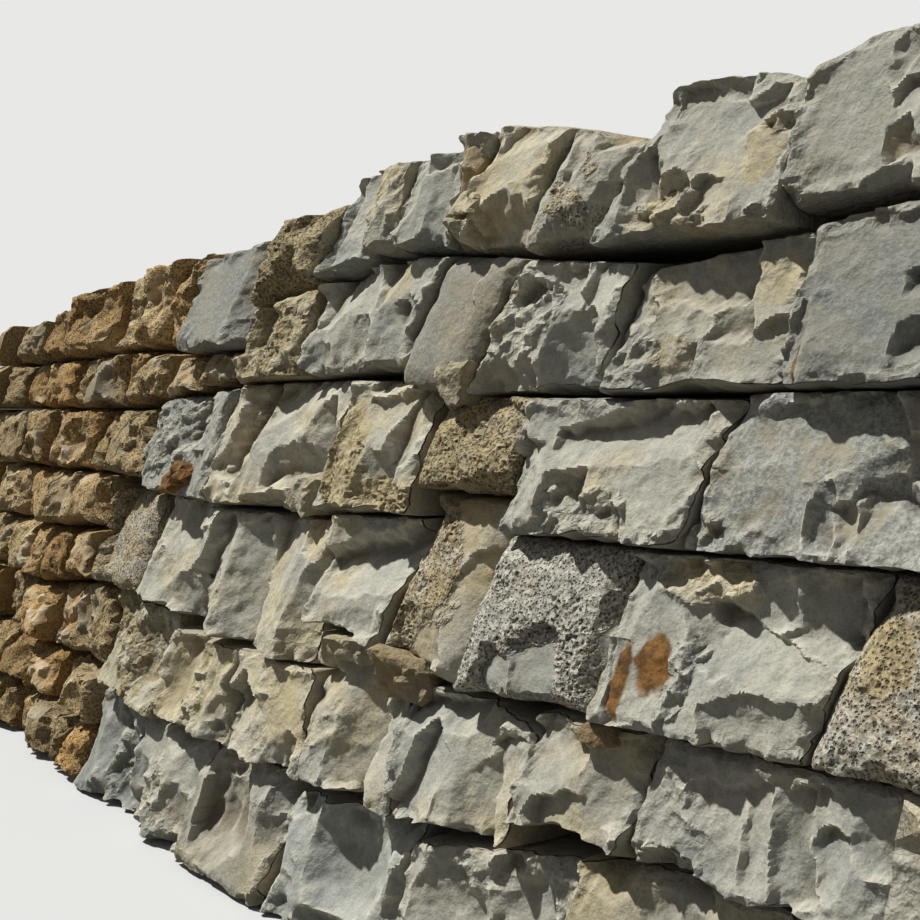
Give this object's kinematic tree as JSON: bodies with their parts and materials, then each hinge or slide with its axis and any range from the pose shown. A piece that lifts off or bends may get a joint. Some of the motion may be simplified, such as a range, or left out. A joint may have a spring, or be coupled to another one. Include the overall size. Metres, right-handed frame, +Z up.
{
  "type": "dry stone wall",
  "caption": "Dry-laid limestone terrace wall: a battered face of split blocks in courses, small brown stones towards the left, a packed core, a coursed back and through stones at both ends.",
  "frame": {"origin": "middle of the bounding box at ground level, under the core of the wall", "axes": "+Z up; the battered face looks towards -Y and the bank side towards +Y; +X runs to the right along the straight stretch of the foot, seen from the front"},
  "size_m": [4.4502, 1.1546, 1.4908],
  "materials": {
    "grey_limestone": "freshly split grey limestone with smooth scoops, sharp ridges and dull beige edges",
    "crusted_limestone": "weathered limestone with a beige, pitted crust",
    "brown_limestone": "rough, pitted tan and brown limestone",
    "packing_rubble": "broken stone packed in the core"
  },
  "bodies": {
    "root": {"back_lower_courses": "grey_limestone", "back_middle_courses": "grey_limestone", "back_upper_courses": "grey_limestone", "fifth_course_small_stones": "brown_limestone", "fifth_course_stone_1": "grey_limestone", "fifth_course_stone_2": "grey_limestone", "fifth_course_stone_3": "grey_limestone", "fifth_course_stone_4": "crusted_limestone", "fifth_course_stone_5": "grey_limestone", "fifth_course_stone_6": "grey_limestone", "foundation_course_small_stones": "brown_limestone", "foundation_stones": "grey_limestone", "fourth_course_small_stones": "brown_limestone", "fourth_course_stone_1": "grey_limestone", "fourth_course_stone_2": "grey_limestone", "fourth_course_stone_3": "crusted_limestone", "fourth_course_stone_4": "grey_limestone", "fourth_course_stone_5": "grey_limestone", "fourth_course_stone_6": "grey_limestone", "hearting": "packing_rubble", "left_end_through_stones": "brown_limestone", "pinning_stones": "brown_limestone", "right_end_through_stones": "grey_limestone", "second_course_small_stones": "brown_limestone", "second_course_stones": "grey_limestone", "third_course_small_stones": "brown_limestone", "third_course_stone_1": "crusted_limestone", "third_course_stone_2": "grey_limestone", "third_course_stone_3": "crusted_limestone", "third_course_stone_4": "crusted_limestone", "third_course_stone_5": "grey_limestone", "third_course_stone_6": "grey_limestone", "third_course_stone_7": "grey_limestone", "third_course_stone_8": "crusted_limestone", "top_course_small_stones": "brown_limestone", "top_course_stone_1": "grey_limestone", "top_course_stone_2": "grey_limestone", "top_course_stone_3": "crusted_limestone", "top_course_stone_4": "grey_limestone", "top_course_stone_5": "grey_limestone", "top_course_stone_6": "grey_limestone", "top_course_stone_7": "grey_limestone", "top_course_stone_8": "crusted_limestone", "top_course_stone_9": "grey_limestone"}
  },
  "joints": []
}
